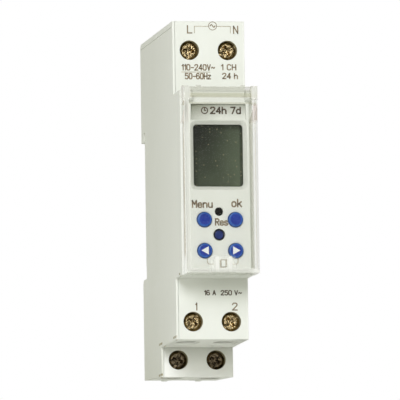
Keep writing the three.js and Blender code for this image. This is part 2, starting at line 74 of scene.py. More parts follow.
SCREW_SUNK = 1.2 * MM  # how far a screw's head lies behind the front of its terminal block
FACE_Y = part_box("faceplate")[1].y - 5.0 * MM  # the panel's face, read from its skirt's rear edge
SHOULDER_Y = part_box("screw_live")[0].y - SCREW_SUNK  # front of the terminal blocks above and below the panel
STEP_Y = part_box("screw_low_left")[0].y - SCREW_SUNK  # front of the lowest terminal block
PANEL_FOOT = -22.5 * MM  # underside of the block that holds the panel
SHOULDER_FOOT = -37.4 * MM  # underside of the terminal block below the panel
SIDE_X = 8.9 * MM  # the outer side faces lie this far to the left and the right


# ---- Camera, floor and light ----

AZIMUTH, ELEVATION, ROLL = -9.76, -5.94, -0.82  # degrees
TARGET = Vector((-0.342, -30.0, -1.95)) * MM
DISTANCE = 2030.7 * MM
LENS = 746.3  # mm on a 36 mm sensor: a long view with almost no perspective
OPENING_DARK, OPENING_END = 24, 42  # degrees from its middle: the dark opening's full part and its edge


def outward(azimuth, elevation):
    """The direction from the object towards a viewer at these degrees; azimuth 0 is in front."""
    a, e = math.radians(azimuth), math.radians(elevation)
    return Vector((math.sin(a) * math.cos(e), -math.cos(a) * math.cos(e), math.sin(e)))


def make_camera():
    data = bpy.data.cameras.new("camera")
    data.lens = LENS
    data.sensor_width = 36
    data.clip_start, data.clip_end = 0.1, 50
    camera = add("camera", data)
    back = outward(AZIMUTH, ELEVATION)
    turn = (-back).to_track_quat("-Z", "Y").to_matrix().to_4x4() @ Matrix.Rotation(math.radians(ROLL), 4, "Z")
    camera.matrix_world = Matrix.Translation(TARGET + back * DISTANCE) @ turn
    scene.camera = camera


def area_light(name, azimuth, elevation, distance, size, power, color):
    data = bpy.data.lights.new(name, "AREA")
    data.shape = "DISK"
    data.size = size
    data.energy = power
    data.color = color
    light = add(name, data)
    away = outward(azimuth, elevation)
    light.location = TARGET + away * distance
    light.rotation_mode = "QUATERNION"
    light.rotation_quaternion = (-away).to_track_quat("-Z", "Y")


def make_world():
    """A light tent: the camera sees plain white, matt surfaces get a dimmer and warmer light, and gloss mirrors
    white walls with a dark opening in front, where a photographer stands."""
    world = bpy.data.worlds.new("studio")
    scene.world = world
    world.use_nodes = True
    tree = world.node_tree
    tree.nodes.clear()

    def background(color, strength):
        node = tree.nodes.new("ShaderNodeBackground")
        node.inputs["Color"].default_value = (*color, 1)
        node.inputs["Strength"].default_value = strength
        return node

    def mix(share, one, two):
        node = tree.nodes.new("ShaderNodeMixShader")
        tree.links.new(share, node.inputs["Fac"])
        tree.links.new(one.outputs[0], node.inputs[1])
        tree.links.new(two.outputs[0], node.inputs[2])
        return node

    path = tree.nodes.new("ShaderNodeLightPath")
    towards = tree.nodes.new("ShaderNodeVectorMath")
    towards.operation = "DOT_PRODUCT"
    tree.links.new(tree.nodes.new("ShaderNodeTexCoord").outputs["Generated"], towards.inputs[0])
    towards.inputs[1].default_value = outward(-AZIMUTH, -ELEVATION)
    opening = tree.nodes.new("ShaderNodeMapRange")
    tree.links.new(towards.outputs["Value"], opening.inputs["Value"])
    opening.inputs["From Min"].default_value = math.cos(math.radians(OPENING_END))
    opening.inputs["From Max"].default_value = math.cos(math.radians(OPENING_DARK))
    mirrored = mix(opening.outputs[0], background((1.0, 1.0, 0.97), 0.95), background((1.0, 1.0, 1.0), 0.05))
    matt = background((0.985, 1.0, 0.85), 0.465)
    lit = mix(path.outputs["Is Glossy Ray"], matt, mirrored)
    seen = mix(path.outputs["Is Camera Ray"], lit, background((1.0, 1.0, 1.0), 1.0))
    out = tree.nodes.new("ShaderNodeOutputWorld")
    tree.links.new(seen.outputs[0], out.inputs["Surface"])


def make_floor():
    mesh = bpy.data.meshes.new("floor")
    reach, low = 4.0, -0.32
    corners = [(-reach, -reach, low), (reach, -reach, low), (reach, reach, low), (-reach, reach, low)]
    mesh.from_pydata(corners, [], [(0, 1, 2, 3)])
    floor = add("floor", mesh)
    n = Nodes("floor_paper")
    n.set(Base_Color=(0.86, 0.86, 0.85), Roughness=0.9)
    # The paper is seen from above only, so that views from below are not blocked.
    backface = n.new("NewGeometry").outputs["Backfacing"]
    paper = n.mix_shader(backface, n.shader, n.new("BsdfTransparent"))
    n.tree.links.new(paper.outputs[0], n.out.inputs["Surface"])
    mesh.materials.append(n.material)


# ---- Materials ----

class Nodes:
    """A material's node tree, with short calls for the nodes used here."""

    def __init__(self, name):
        self.material = bpy.data.materials.new(name)
        self.material.use_nodes = True
        self.tree = self.material.node_tree
        self.shader = self.tree.nodes["Principled BSDF"]
        self.out = self.tree.nodes["Material Output"]
        self.place = self.tree.nodes.new("ShaderNodeTexCoord").outputs["Object"]

    def new(self, kind, **inputs):
        node = self.tree.nodes.new("ShaderNode" + kind)
        for name, value in inputs.items():
            self.feed(node.inputs[name.replace("_", " ")], value)
        return node

    def set(self, **inputs):
        """Sets inputs of the material's main shader."""
        for name, value in inputs.items():
            self.feed(self.shader.inputs[name.replace("_", " ")], value)

    def feed(self, socket, value):
        if isinstance(value, bpy.types.NodeSocket):
            self.tree.links.new(value, socket)
        elif isinstance(value, tuple) and len(value) == 3 and socket.type == "RGBA":
            socket.default_value = (*value, 1)
        else:
            socket.default_value = value

    def stretched(self, scale):
        mapping = self.new("Mapping", Vector=self.place)
        mapping.inputs["Scale"].default_value = scale
        return mapping.outputs[0]

    def noise(self, per_metre, detail=3.0, rough=0.5, at=None):
        node = self.new("TexNoise", Vector=at or self.place, Scale=per_metre, Detail=detail, Roughness=rough)
        return node.outputs["Fac"]

    def ramp(self, value, low, high, to_low=0.0, to_high=1.0):
        """Runs evenly from to_low at low to to_high at high, and stays at those beyond them."""
        node = self.new("MapRange", Value=value)
        for name, number in zip(("From Min", "From Max", "To Min", "To Max"), (low, high, to_low, to_high)):
            node.inputs[name].default_value = number
        return node.outputs[0]

    def math(self, operation, a, b=0.0):
        node = self.tree.nodes.new("ShaderNodeMath")
        node.operation = operation
        self.feed(node.inputs[0], a)
        self.feed(node.inputs[1], b)
        return node.outputs[0]

    def times(self, first, *others):
        for other in others:
            first = self.math("MULTIPLY", first, other)
        return first

    def most(self, first, *others):
        for other in others:
            first = self.math("MAXIMUM", first, other)
        return first

    def blend(self, share, a, b):
        node = self.tree.nodes.new("ShaderNodeMix")
        node.data_type = "RGBA"
        self.feed(node.inputs["Factor"], share)
        self.feed(node.inputs["A"], a)
        self.feed(node.inputs["B"], b)
        return node.outputs["Result"]

    def split(self):
        return self.new("SeparateXYZ", Vector=self.place).outputs

    def bands(self, value, low, high, stops):
        """Colours at places between low and high, in the units of value; each stop is (place, colour)."""
        node = self.new("ValToRGB", Fac=self.ramp(value, low, high))
        points = node.color_ramp.elements
        while len(points) < len(stops):
            points.new(0.5)
        for point, (place, color) in zip(points, stops):
            point.position = (place - low) / (high - low)
            point.color = (*color, 1)
        return node.outputs["Color"]

    def inside(self, value, low, high, soft):
        """1 between low and high, easing to 0 over soft on either side."""
        return self.times(self.ramp(value, low - soft, low), self.ramp(value, high + soft, high))

    def mix_shader(self, share, one, two):
        node = self.new("MixShader", Fac=share)
        self.tree.links.new(one.outputs[0], node.inputs[1])
        self.tree.links.new(two.outputs[0], node.inputs[2])
        return node

    def bump(self, height, strength, distance, rounded=0.0):
        """Fine relief, over edges that shade as if rounded by a radius in millimetres."""
        node = self.new("Bump", Height=height, Strength=strength, Distance=distance)
        if rounded:
            edge = self.new("Bevel", Radius=rounded * MM)
            edge.samples = 6
            self.feed(node.inputs["Normal"], edge.outputs[0])
        self.feed(self.shader.inputs["Normal"], node.outputs[0])


def moulded_white(name="moulded_white", *stains_and_painted_light):
    """Fine-textured off-white moulding: cloudy colour, faint flow lines, and painted shade that darkens and
    yellows it towards the rail. Its outer sides carry painted light towards the front and are darker at the foot.
    Each of the stains and painted light and shade marks returns a share and a colour to lay over the rest."""
    n = Nodes(name)
    cloud = n.noise(45, 4, 0.55)
    flow = n.noise(60, 3, 0.5, at=n.stretched((6, 2.5, 0.35)))
    tone = n.blend(n.ramp(cloud, 0.3, 0.7), (0.835, 0.850, 0.800), (0.880, 0.892, 0.850))
    tone = n.blend(n.ramp(flow, 0.55, 0.8, 0, 0.16), tone, (0.76, 0.765, 0.69))
    x, y, z = n.split()
    side = n.ramp(n.math("ABSOLUTE", x), SIDE_X - 0.5 * MM, SIDE_X - 0.3 * MM)
    # Painted light: the outer sides are lightened towards the front.
    light = n.times(side, n.ramp(y, -12 * MM, -42 * MM, 0.0, 0.65))
    # Painted shade: darker and yellower towards the rail, most at the bottom.
    painted_rear_shade = n.times(n.ramp(y, -45 * MM, 5 * MM, 0.0, 0.24), n.ramp(z, 45 * MM, -45 * MM, 0.75, 1.0))
    foot = n.times(side, n.ramp(z, -22 * MM, -43 * MM, 0.0, 0.30), n.ramp(y, -40 * MM, -5 * MM, 0.2, 1.0))
    tone = n.blend(light, tone, (0.95, 0.96, 0.92))
    tone = n.blend(n.math("ADD", painted_rear_shade, foot), tone, (0.60, 0.61, 0.50))
    for overlay in stains_and_painted_light:
        share, color = overlay(n)
        tone = n.blend(share, tone, color)
    n.set(Base_Color=tone, Roughness=n.ramp(n.noise(900, 3), 0.3, 0.7, 0.38, 0.52), Specular_IOR_Level=0.42)
    n.bump(n.noise(5200, 2, 0.6), 0.10, GRAIN, rounded=0.22)
    return n.material


def recess_painted_shadow(n):
    """Painted shadow in the label recess, darkest in its upper left corner."""
    x, y, z = n.split()
    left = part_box("faceplate")[0].x
    deep = n.ramp(y, FACE_Y + 0.3 * MM, FACE_Y + 0.7 * MM)
    near = n.inside(z, 14.5 * MM, 19.2 * MM, 0.3 * MM)
    corner = n.math("ADD", n.ramp(z, 15.3 * MM, 18.9 * MM, 0.0, 0.62), n.ramp(x, left, left + 8 * MM, 0.44, 0.0))
    return n.times(deep, near, corner), (0.20, 0.21, 0.14)


def clear_plastic(name, haze, smear):
    """Polished clear polycarbonate. Sight goes straight through it, lamps and stray light nearly so, and it
    mirrors most at grazing angles. haze is how milky it is, and smear how much more so in streaks. The thick
    lip at the hinge is greyer, and the ears, the finger tab's ribs and the sill are milky; the walls' inner faces and
    the left wall's front edge are made milky as painted light."""
    n = Nodes(name)
    n.set(Base_Color=(0.93, 0.93, 0.90), Roughness=0.3, Specular_IOR_Level=0.0)
    x, y, z = n.split()
    off_middle = n.math("ABSOLUTE", x)
    # The lip starts with a thin olive line, then a rosy and an olive band.
    clean, pale, grey = (0.99, 0.99, 0.985), (0.93, 0.93, 0.91), (0.875, 0.87, 0.85)
    olive, rosy = (0.865, 0.86, 0.80), (0.81, 0.78, 0.72)
    tint = n.bands(z, -23 * MM, 23 * MM, [
        (-23 * MM, clean), (18.35 * MM, clean), (18.5 * MM, olive), (18.75 * MM, clean), (19.9 * MM, clean),
        (20.05 * MM, rosy), (20.25 * MM, olive), (20.85 * MM, olive), (20.95 * MM, pale), (21.15 * MM, pale),
        (21.25 * MM, grey), (22.6 * MM, grey)])
    # A brownish line runs down each side wall.
    patchy = n.ramp(n.noise(300, 4, 0.7, at=n.stretched((1, 1, 0.5))), 0.3, 0.55, 0.45, 1.0)
    left = n.times(n.ramp(x, -8.5 * MM, -8.6 * MM), n.inside(y, -58.3 * MM, -56.6 * MM, 0.4 * MM),
                   n.ramp(z, -19.5 * MM, -18.0 * MM, 0.0, 0.8), patchy)
    right = n.times(n.ramp(x, 7.8 * MM, 7.9 * MM), n.inside(y, -56.8 * MM, -56.0 * MM, 0.2 * MM), patchy)
    tint = n.blend(left, tint, (0.50, 0.42, 0.32))
    tint = n.blend(right, tint, (0.87, 0.83, 0.76))
    # The hinge ears are whitish, and the side walls below them are tinted pinkish.
    ear = n.times(n.math("GREATER_THAN", off_middle, 7.5 * MM), n.ramp(z, 19.4 * MM, 19.7 * MM))
    below_ears = n.times(n.math("GREATER_THAN", off_middle, 7.9 * MM), n.inside(z, 14.4 * MM, 18.2 * MM, 0.1 * MM))
    tint = n.blend(below_ears, tint, (0.87, 0.83, 0.80))
    # The finger tab has two milky ribs and painted shade in its slot, and the sill below it is milky.
    ribs = n.inside(off_middle, 1.2 * MM, 2.0 * MM, 0.15 * MM)
    tab = n.times(n.inside(x, -3.0 * MM, 3.0 * MM, 0.1 * MM), n.ramp(z, -18.6 * MM, -18.9 * MM))
    slot = n.times(n.inside(x, -0.7 * MM, 0.7 * MM, 0.05 * MM), n.inside(z, -21.4 * MM, -19.6 * MM, 0.05 * MM))
    sill = n.times(n.ramp(z, -21.6 * MM, -21.8 * MM), n.ramp(y, -58.9 * MM, -59.1 * MM))
    tint = n.blend(slot, tint, (0.52, 0.46, 0.38))
    # The walls' inner faces, which are seen edge on, and the left wall's front edge are made milky as painted light
    # that lifts the shade of the gaps seen through them.
    within = n.inside(off_middle, 7.9 * MM, 8.0 * MM, 0.02 * MM)
    rim = n.times(n.ramp(x, -7.9 * MM, -8.0 * MM), n.ramp(y, -59.2 * MM, -59.4 * MM))
    streaks = n.ramp(n.noise(160, 4, 0.6, at=n.stretched((1, 1, 0.4))), 0.45, 0.75, haze, haze + smear)
    milky = n.most(streaks, n.times(tab, n.ramp(ribs, 0, 1, 0.14, 0.62)), n.times(sill, 0.55))
    milky = n.times(milky, n.ramp(slot, 0, 1, 1.0, 0.1))
    milky = n.most(milky, n.times(ear, 0.45), n.times(within, n.ramp(x, 1 * MM, -1 * MM, 0.3, 0.42)),
                   n.times(rim, 0.5))
    path = n.new("LightPath").outputs
    facing = n.new("LayerWeight", Blend=0.5).outputs["Facing"]
    gloss_share = n.math("ADD", n.times(n.math("POWER", facing, 5.0), 0.96), 0.04)
    gloss_share = n.times(gloss_share, n.ramp(n.most(within, left), 0, 1, 1.0, 0.3))
    gloss = n.new("BsdfGlossy", Roughness=0.03, Color=(1.0, 1.0, 1.0))
    body = n.mix_shader(milky, n.new("BsdfTransparent", Color=tint), n.shader)
    surface = n.mix_shader(gloss_share, body, gloss)
    passing = n.most(path["Is Shadow Ray"], path["Is Diffuse Ray"])
    lamp_side = n.mix_shader(passing, surface, n.new("BsdfTransparent", Color=(0.97, 0.97, 0.965)))
    n.tree.links.new(lamp_side.outputs[0], n.out.inputs["Surface"])
    return n.material


def display_glass():
    """An unlit reflective display with painted light and shade: near black at the upper left, grey-green at the lower
    right, with dust specks.
    """
    n = Nodes("display_glass")
    x, _, z = n.split()
    low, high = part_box("lcd_glass")
    # Painted light and shade: darker to the upper left, lighter to the lower right.
    across = n.ramp(n.math("POWER", n.ramp(x, low.x, high.x), 1.8), 0.0, 1.0, 0.06, 0.78)
    down = n.ramp(z, high.z, low.z, 0.0, 0.42)
    lit = n.math("ADD", n.math("ADD", across, down), n.ramp(n.noise(110, 3), 0.3, 0.7, -0.15, 0.05))
    tone = n.blend(n.ramp(lit, 0.0, 1.0), (0.018, 0.019, 0.015), (0.125, 0.153, 0.102))
    # The frame's shade lies along the top and both sides.
    shade = n.times(n.ramp(z, 13.3 * MM, 12.3 * MM, 0.5, 1.0), n.ramp(x, -5.6 * MM, -4.6 * MM, 0.65, 1.0),
                    n.ramp(x, 5.6 * MM, 5.3 * MM, 0.5, 1.0))
    tone = n.blend(shade, (0.010, 0.010, 0.008), tone)
    flat = n.new("CombineXYZ", X=x, Y=z).outputs[0]
    for per_metre, size, bright in ((640, 0.07, (0.36, 0.33, 0.20)), (1150, 0.09, (0.12, 0.15, 0.12))):
        dust = n.new("TexVoronoi", Vector=flat, Scale=per_metre)
        dust.voronoi_dimensions = "2D"
        spot = n.math("LESS_THAN", dust.outputs["Distance"], size)
        some = n.math("GREATER_THAN", n.new("SeparateColor", Color=dust.outputs["Color"]).outputs[0], 0.55)
        tone = n.blend(n.times(spot, some), tone, bright)
    n.set(Base_Color=tone, Roughness=0.16, Specular_IOR_Level=0.4)
    return n.material


def plastic(name, tone, roughness, variation=0.12, grain=2500, depth=0.08, gloss=0.5):
    """A plain coloured moulding with cloudy colour and a fine grain."""
    n = Nodes(name)
    darker = tuple(c * (1 - variation) for c in tone)
    lighter = tuple(min(1, c * (1 + variation)) for c in tone)
    n.set(Base_Color=n.blend(n.ramp(n.noise(420, 3), 0.3, 0.7), darker, lighter),
          Roughness=n.ramp(n.noise(1500, 2), 0.3, 0.7, roughness * 0.85, roughness * 1.15),
          Specular_IOR_Level=gloss)
    n.bump(n.noise(grain, 2), depth, GRAIN)
    return n.material


def metal(name, dull, bright, roughness, grain, stretch=(1, 1, 1), dent=0.01):
    """Bare or plated metal, mottled between two tones, with fine marks along one direction."""
    n = Nodes(name)
    marks = n.noise(grain, 4, 0.65, at=n.stretched(stretch))
    n.set(Base_Color=n.blend(n.ramp(marks, 0.32, 0.68), dull, bright), Metallic=1.0,
          Roughness=n.ramp(n.noise(grain * 0.6, 3), 0.3, 0.7, roughness * 0.7, roughness * 1.3))
    n.bump(marks, 1.0, dent * MM)
    return n.material


def circuit_board():
    """Green solder resist over tracks, with pale vias."""
    n = Nodes("circuit_board")
    tracks = n.new("TexBrick", Vector=n.place, Scale=260, Mortar_Size=0.07, Color1=(0.010, 0.085, 0.030),
                   Color2=(0.014, 0.105, 0.036), Mortar=(0.035, 0.19, 0.06))
    vias = n.new("TexVoronoi", Vector=n.place, Scale=430)
    dot = n.math("LESS_THAN", vias.outputs["Distance"], 0.14)
    n.set(Base_Color=n.blend(dot, tracks.outputs["Color"], (0.55, 0.50, 0.36)), Roughness=0.38)
    n.bump(tracks.outputs["Fac"], 0.2, 0.05 * MM)
    return n.material


def striped_rubber():
    """Connector strip: silicone with fine conducting bands."""
    n = Nodes("striped_rubber")
    pairs_per_metre = 5000
    x, _, _ = n.split()
    band = n.math("GREATER_THAN", n.math("FRACT", n.times(x, pairs_per_metre)), 0.5)
    n.set(Base_Color=n.blend(band, (0.26, 0.20, 0.19), (0.018, 0.018, 0.02)), Roughness=0.75)
    return n.material


def printing(name, tone):
    """Pad-printed ink, a little uneven."""
    n = Nodes(name)
    thin = tuple(min(1, c * 1.5 + 0.03) for c in tone)
    n.set(Base_Color=n.blend(n.ramp(n.noise(2600, 3), 0.42, 0.72), tone, thin), Roughness=0.6)
    return n.material


# Stains, painted light and painted shade on the white mouldings: each gives how much of its colour lies at a point,
# and the colour.

def boxes(n, y, z, places, half_tall, soft):
    """1 in boxes round (y, z) places with their own half lengths along Y, all in millimetres."""
    near = 0.0
    for cy, cz, half_long in places:
        near = n.most(near, n.times(n.inside(y, (cy - half_long) * MM, (cy + half_long) * MM, soft * MM),
                                    n.inside(z, (cz - half_tall) * MM, (cz + half_tall) * MM, 0.1 * MM)))
    return near


def on_front(n, y, front):
    """1 on faces about this far forward."""
    return n.inside(y, front - 0.4 * MM, front + 0.3 * MM, 0.1 * MM)


def on_level(n, z, level):
    """1 on faces about this high."""
    return n.inside(z, level - 0.1 * MM, level + 0.1 * MM, 0.05 * MM)


def on_lowest_front(n, y, z):
    """1 on the lowest terminal block's front."""
    return n.times(on_front(n, y, STEP_Y), n.ramp(z, SHOULDER_FOOT + 0.2 * MM, SHOULDER_FOOT))


def off_sides(n, x):
    """1 away from the two outer side faces."""
    return n.ramp(n.math("ABSOLUTE", x), SIDE_X - 0.02 * MM, SIDE_X - 0.1 * MM)


def snap_stain(n):
    """The snaps at the seam are browned where they were pressed home."""
    x, y, z = n.split()
    near = boxes(n, y, z, ((-41.4, -37.0, 1.3), (-24.2, -37.0, 1.3), (-18.7, -44.3, 1.3), (-49.0, -22.1, 1.3)),
                 0.5, 0.1)
    patchy = n.ramp(n.noise(1500, 3), 0.35, 0.6, 0.2, 0.9)
    return n.times(n.ramp(x, -8.2 * MM, -8.5 * MM), near, patchy), (0.38, 0.27, 0.10)


def seam_browning(n):
    """Brown lines on the side cover's edge beside the snaps."""
    x, y, z = n.split()
    near = boxes(n, y, z, ((-40.8, -36.65, 2.2), (-19.8, -36.5, 2.4), (-18.7, -44.05, 2.1), (-49.0, -22.0, 0.7)),
                 0.22, 0.3)
    patchy = n.ramp(n.noise(900, 3), 0.35, 0.6, 0.45, 0.9)
    return n.times(n.ramp(x, -8.5 * MM, -8.7 * MM), near, patchy), (0.25, 0.19, 0.045)


def low_front_painted_light(n):
    """Painted light on the lowest front, most of all at its left."""
    x, y, z = n.split()
    share = n.times(on_lowest_front(n, y, z), n.ramp(x, 7.0 * MM, -7.0 * MM, 0.4, 1.0), off_sides(n, x))
    return share, (0.98, 0.985, 0.96)


def under_step_painted_shade(n):
    """Painted shade on the lowest front, darker towards the block above it."""
    x, y, z = n.split()
    share = n.times(on_lowest_front(n, y, z), n.ramp(z, -41.8 * MM, SHOULDER_FOOT + 0.1 * MM, 0.0, 0.55),
                    off_sides(n, x))
    return share, (0.30, 0.31, 0.25)


def step_shade(n):
    """Painted shade on the front below the panel, most at its upper right, and a little on the underside above it."""
    x, y, z = n.split()
    front = n.times(on_front(n, y, SHOULDER_Y),
                    n.inside(z, SHOULDER_FOOT - 0.6 * MM, PANEL_FOOT + 0.1 * MM, 0.1 * MM))
    upper = n.times(n.ramp(z, -33 * MM, -24 * MM, 0.0, 0.34), n.ramp(x, -7.0 * MM, 2.0 * MM, 0.1, 1.0))
    under = n.times(on_level(n, z, PANEL_FOOT), n.ramp(y, SHOULDER_Y + 0.2 * MM, SHOULDER_Y, 0.0, 0.2))
    return n.times(n.most(n.times(front, upper), under), off_sides(n, x)), (0.38, 0.40, 0.33)


def underside_painted_shade(n):
    """Painted shade on the right end of the underside above the lowest front, more of it towards the front."""
    x, y, z = n.split()
    slant = n.math("SUBTRACT", x, n.times(n.math("SUBTRACT", y, SHOULDER_Y), 0.168))
    share = n.times(n.ramp(slant, 4.2 * MM, 6.6 * MM), on_level(n, z, SHOULDER_FOOT),
                    n.ramp(y, STEP_Y - 0.1 * MM, STEP_Y - 0.3 * MM), off_sides(n, x),
                    n.ramp(n.noise(300, 4), 0.35, 0.65, 0.15, 0.6))
    return share, (0.22, 0.22, 0.19)


def well_painted_shade(n):
    """Painted shade in the screw wells, tinted olive like the brass inside them."""
    x, y, z = n.split()
    near = 0.0
    for name in TERMINALS:
        screw = middle("screw_" + name)
        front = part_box("screw_" + name)[0].y - SCREW_SUNK
        dx, dz = n.math("SUBTRACT", x, screw.x), n.math("SUBTRACT", z, screw.z)
        off = n.math("SQRT", n.math("ADD", n.times(dx, dx), n.times(dz, dz)))
        near = n.most(near, n.times(n.ramp(off, 2.75 * MM, 2.6 * MM),
                                    n.inside(y, front + 0.12 * MM, front + 4 * MM, 0.1 * MM)))
    return n.times(near, 0.88), (0.42, 0.35, 0.17)


WHITE = moulded_white()
SHELL = moulded_white("shell_white", low_front_painted_light, under_step_painted_shade, step_shade, underside_painted_shade, snap_stain, well_painted_shade)
SIDE = moulded_white("side_white", seam_browning)
PANEL = moulded_white("panel_white", recess_painted_shadow)
CLEAR = clear_plastic("clear_cover", 0.003, 0.006)
# The cover's rounded edges get a milkier copy of the clear plastic: a painted highlight for the glow of polished
# edges.
CLEAR_EDGE_HIGHLIGHT = clear_plastic("clear_cover_edge_highlight", 0.30, 0.25)
DISPLAY = display_glass()
# The lighter rim blue is a painted highlight on the cap blue; the reset button's darker cap and rim blues are painted
# shade.
BLUE = plastic("button_blue", (0.020, 0.048, 0.35), 0.28, gloss=0.3)
LIT_BLUE_RIM = plastic("button_blue_rim_painted_highlight", (0.022, 0.105, 0.44), 0.28, gloss=0.4)
SHADED_BLUE = plastic("button_blue_painted_shade", (0.012, 0.028, 0.16), 0.3, gloss=0.3)
SHADED_RIM = plastic("button_rim_painted_shade", (0.006, 0.010, 0.035), 0.3, gloss=0.3)
BLACK = plastic("black_plastic", (0.012, 0.012, 0.013), 0.32)
HOLE_BLACK = plastic("indicator_black", (0.006, 0.005, 0.004), 0.6, gloss=0.1)
CASE = plastic("component_case", (0.035, 0.06, 0.14), 0.35)
YELLOW = plastic("capacitor_box", (0.72, 0.48, 0.07), 0.35)
DIPPED = plastic("varistor_coating", (0.04, 0.14, 0.40), 0.3, variation=0.2, grain=1200, depth=0.3)
LACQUER = plastic("resistor_lacquer", (0.30, 0.33, 0.34), 0.5)
BOARD = circuit_board()
RUBBER = striped_rubber()
BRASS = metal("passivated_screw", (0.050, 0.034, 0.016), (0.70, 0.55, 0.30), 0.15, 1500, dent=0.22)
# Painted shade: a darker brass for the lowest screws, which lie under the block above them.
SHADED_BRASS = metal("screw_painted_shade", (0.026, 0.019, 0.014), (0.42, 0.33, 0.22), 0.15, 1300, dent=0.25)
STEEL = metal("plated_steel", (0.34, 0.35, 0.36), (0.70, 0.71, 0.72), 0.30, 900, stretch=(1, 6, 1))
COPPER = metal("tinned_copper", (0.42, 0.24, 0.13), (0.78, 0.52, 0.34), 0.32, 800, stretch=(1, 1, 5))
BROWN_INK = printing("brown_ink", (0.210, 0.155, 0.095))
FAINT_INK = printing("faint_ink", (0.40, 0.35, 0.27))
DARK_INK = printing("dark_ink", (0.075, 0.050, 0.030))
WHITE_INK = printing("white_ink", (0.86, 0.88, 0.90))


# ---- Mesh helpers ----

def paint(obj, *materials):
    obj.data.materials.clear()
    for material in materials:
        obj.data.materials.append(material)


def bevelled(obj, width, segments, degrees):
    """A modifier that rounds the edges that turn by more than these degrees; width is in millimetres."""
    bevel = obj.modifiers.new("bevel", "BEVEL")
    bevel.width = width * MM
    bevel.segments = segments
    bevel.limit_method = "ANGLE"
    bevel.angle_limit = math.radians(degrees)
    return bevel


def soften(obj, width, edge_slot=-1):
    """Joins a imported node's split corners, merges its flat triangles and rounds its edges, all by modifiers."""
    weld = obj.modifiers.new("weld", "WELD")
    weld.merge_threshold = 2e-6
    flat = obj.modifiers.new("flat", "DECIMATE")
    flat.decimate_type = "DISSOLVE"
    flat.angle_limit = math.radians(1)
    bevel = bevelled(obj, width, 3, 35)
    bevel.miter_outer = "MITER_SHARP"  # arcs leave faces that cross themselves
    bevel.material = edge_slot
    obj.modifiers.new("smooth", "WEIGHTED_NORMAL").keep_sharp = False


def piece(name, mesh, body, material, stands_for=()):
    obj = add(name, mesh)
    paint(obj, material)
    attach(obj, body)
    if stands_for:
        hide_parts(*stands_for)
    return obj


def mesh_of(obj):
    """The mesh that an object shows, with its modifiers applied; the object goes."""
    evaluated = obj.evaluated_get(bpy.context.evaluated_depsgraph_get())
    mesh = bpy.data.meshes.new_from_object(evaluated)
    bpy.data.objects.remove(obj)
    return mesh


def smooth(mesh, angle):
    """Shades the mesh smooth except at edges sharper than this angle."""
    for face in mesh.polygons:
        face.use_smooth = True
    mesh.set_sharp_from_angle(angle=math.radians(angle))
    return mesh


def built(bm, name):
    """The mesh that has been made in bm, its faces all turned outwards."""
    bmesh.ops.recalc_face_normals(bm, faces=bm.faces)
    mesh = bpy.data.meshes.new(name)
    bm.to_mesh(mesh)
    bm.free()
    return mesh


def turned(profile, sides=64):
    """A solid of revolution about the Y axis from (radius, y) points in millimetres, first and last on the axis."""
    bm = bmesh.new()
    rings = []
    for r, y in profile:
        if r == 0:
            rings.append([bm.verts.new((0, y * MM, 0))])
        else:
            angles = [2 * math.pi * i / sides for i in range(sides)]
            rings.append([bm.verts.new((r * MM * math.cos(a), y * MM, r * MM * math.sin(a))) for a in angles])
    for one, two in zip(rings, rings[1:]):
        for i in range(sides):
            j = (i + 1) % sides
            corners = [one[i % len(one)], one[j % len(one)], two[j % len(two)], two[i % len(two)]]
            bm.faces.new(list(dict.fromkeys(corners)))
    return built(bm, "turned")


def prism(outline, front, rear):
    """An outline of (x, z) points filled between two Y planes, all in millimetres."""
    bm = bmesh.new()
    near = [bm.verts.new((x * MM, front * MM, z * MM)) for x, z in outline]
    far = [bm.verts.new((x * MM, rear * MM, z * MM)) for x, z in outline]
    bm.faces.new(near)
    bm.faces.new(list(reversed(far)))
    for i in range(len(outline)):
        j = (i + 1) % len(outline)
        bm.faces.new((near[i], far[i], far[j], near[j]))
    return built(bm, "prism")


def carve(mesh, cutters):
    """The mesh with the cutter meshes taken out of it."""
    body = add("blank", mesh)
    tools = [add("cutter", cutter) for cutter in cutters]
    for tool in tools:
        cut = body.modifiers.new("cut", "BOOLEAN")
        cut.object = tool
        cut.solver = "EXACT"
    bpy.context.view_layer.update()
    made = mesh_of(body)
    for tool in tools:
        bpy.data.objects.remove(tool)
    return made


# ---- Carried-over CAD pieces ----

def dress_frame_nodes():
    """Gives each CAD node that is shown its material and soft edges."""
    rounding = {  # in millimetres
        "housing_shell": (0.2, SHELL), "side_cover": (0.12, SIDE), "faceplate": (0.16, PANEL),
        "din_latch": (0.2, WHITE), "lcd_frame": (0.1, WHITE), "display_board": (0.06, BOARD),
        "main_board": (0.06, BOARD), "board_connector": (0.12, BLACK), "relay": (0.3, CASE),
        "film_capacitor": (0.3, YELLOW), "electrolytic_capacitor": (0.35, CASE), "varistor": (0.7, DIPPED),
        "fusible_resistor": (0.4, LACQUER), "bridge_rectifier": (0.15, BLACK), "backup_battery": (0.3, STEEL),
        "microcontroller": (0.12, BLACK), "crystal": (0.3, STEEL), "zebra_top": (0.08, RUBBER),
        "zebra_bottom": (0.08, RUBBER), "lcd_glass": (0.08, DISPLAY), "status_led": (0.08, HOLE_BLACK),
    }
    for name in BUTTONS:
        rounding["switch_" + name] = (0.1, STEEL)
        rounding["plunger_" + name] = (0.1, BLACK)
    for name in TERMINALS:
        rounding["cage_" + name] = (0.15, STEEL)
        rounding["bar_" + name] = (0.12, COPPER)
    for name, (width, material) in rounding.items():
        paint(nodes[name], material)
        soften(nodes[name], width)
    paint(nodes["flip_cover"], CLEAR, CLEAR_EDGE_HIGHLIGHT)
    soften(nodes["flip_cover"], 0.16, edge_slot=1)


# ---- Buttons ----

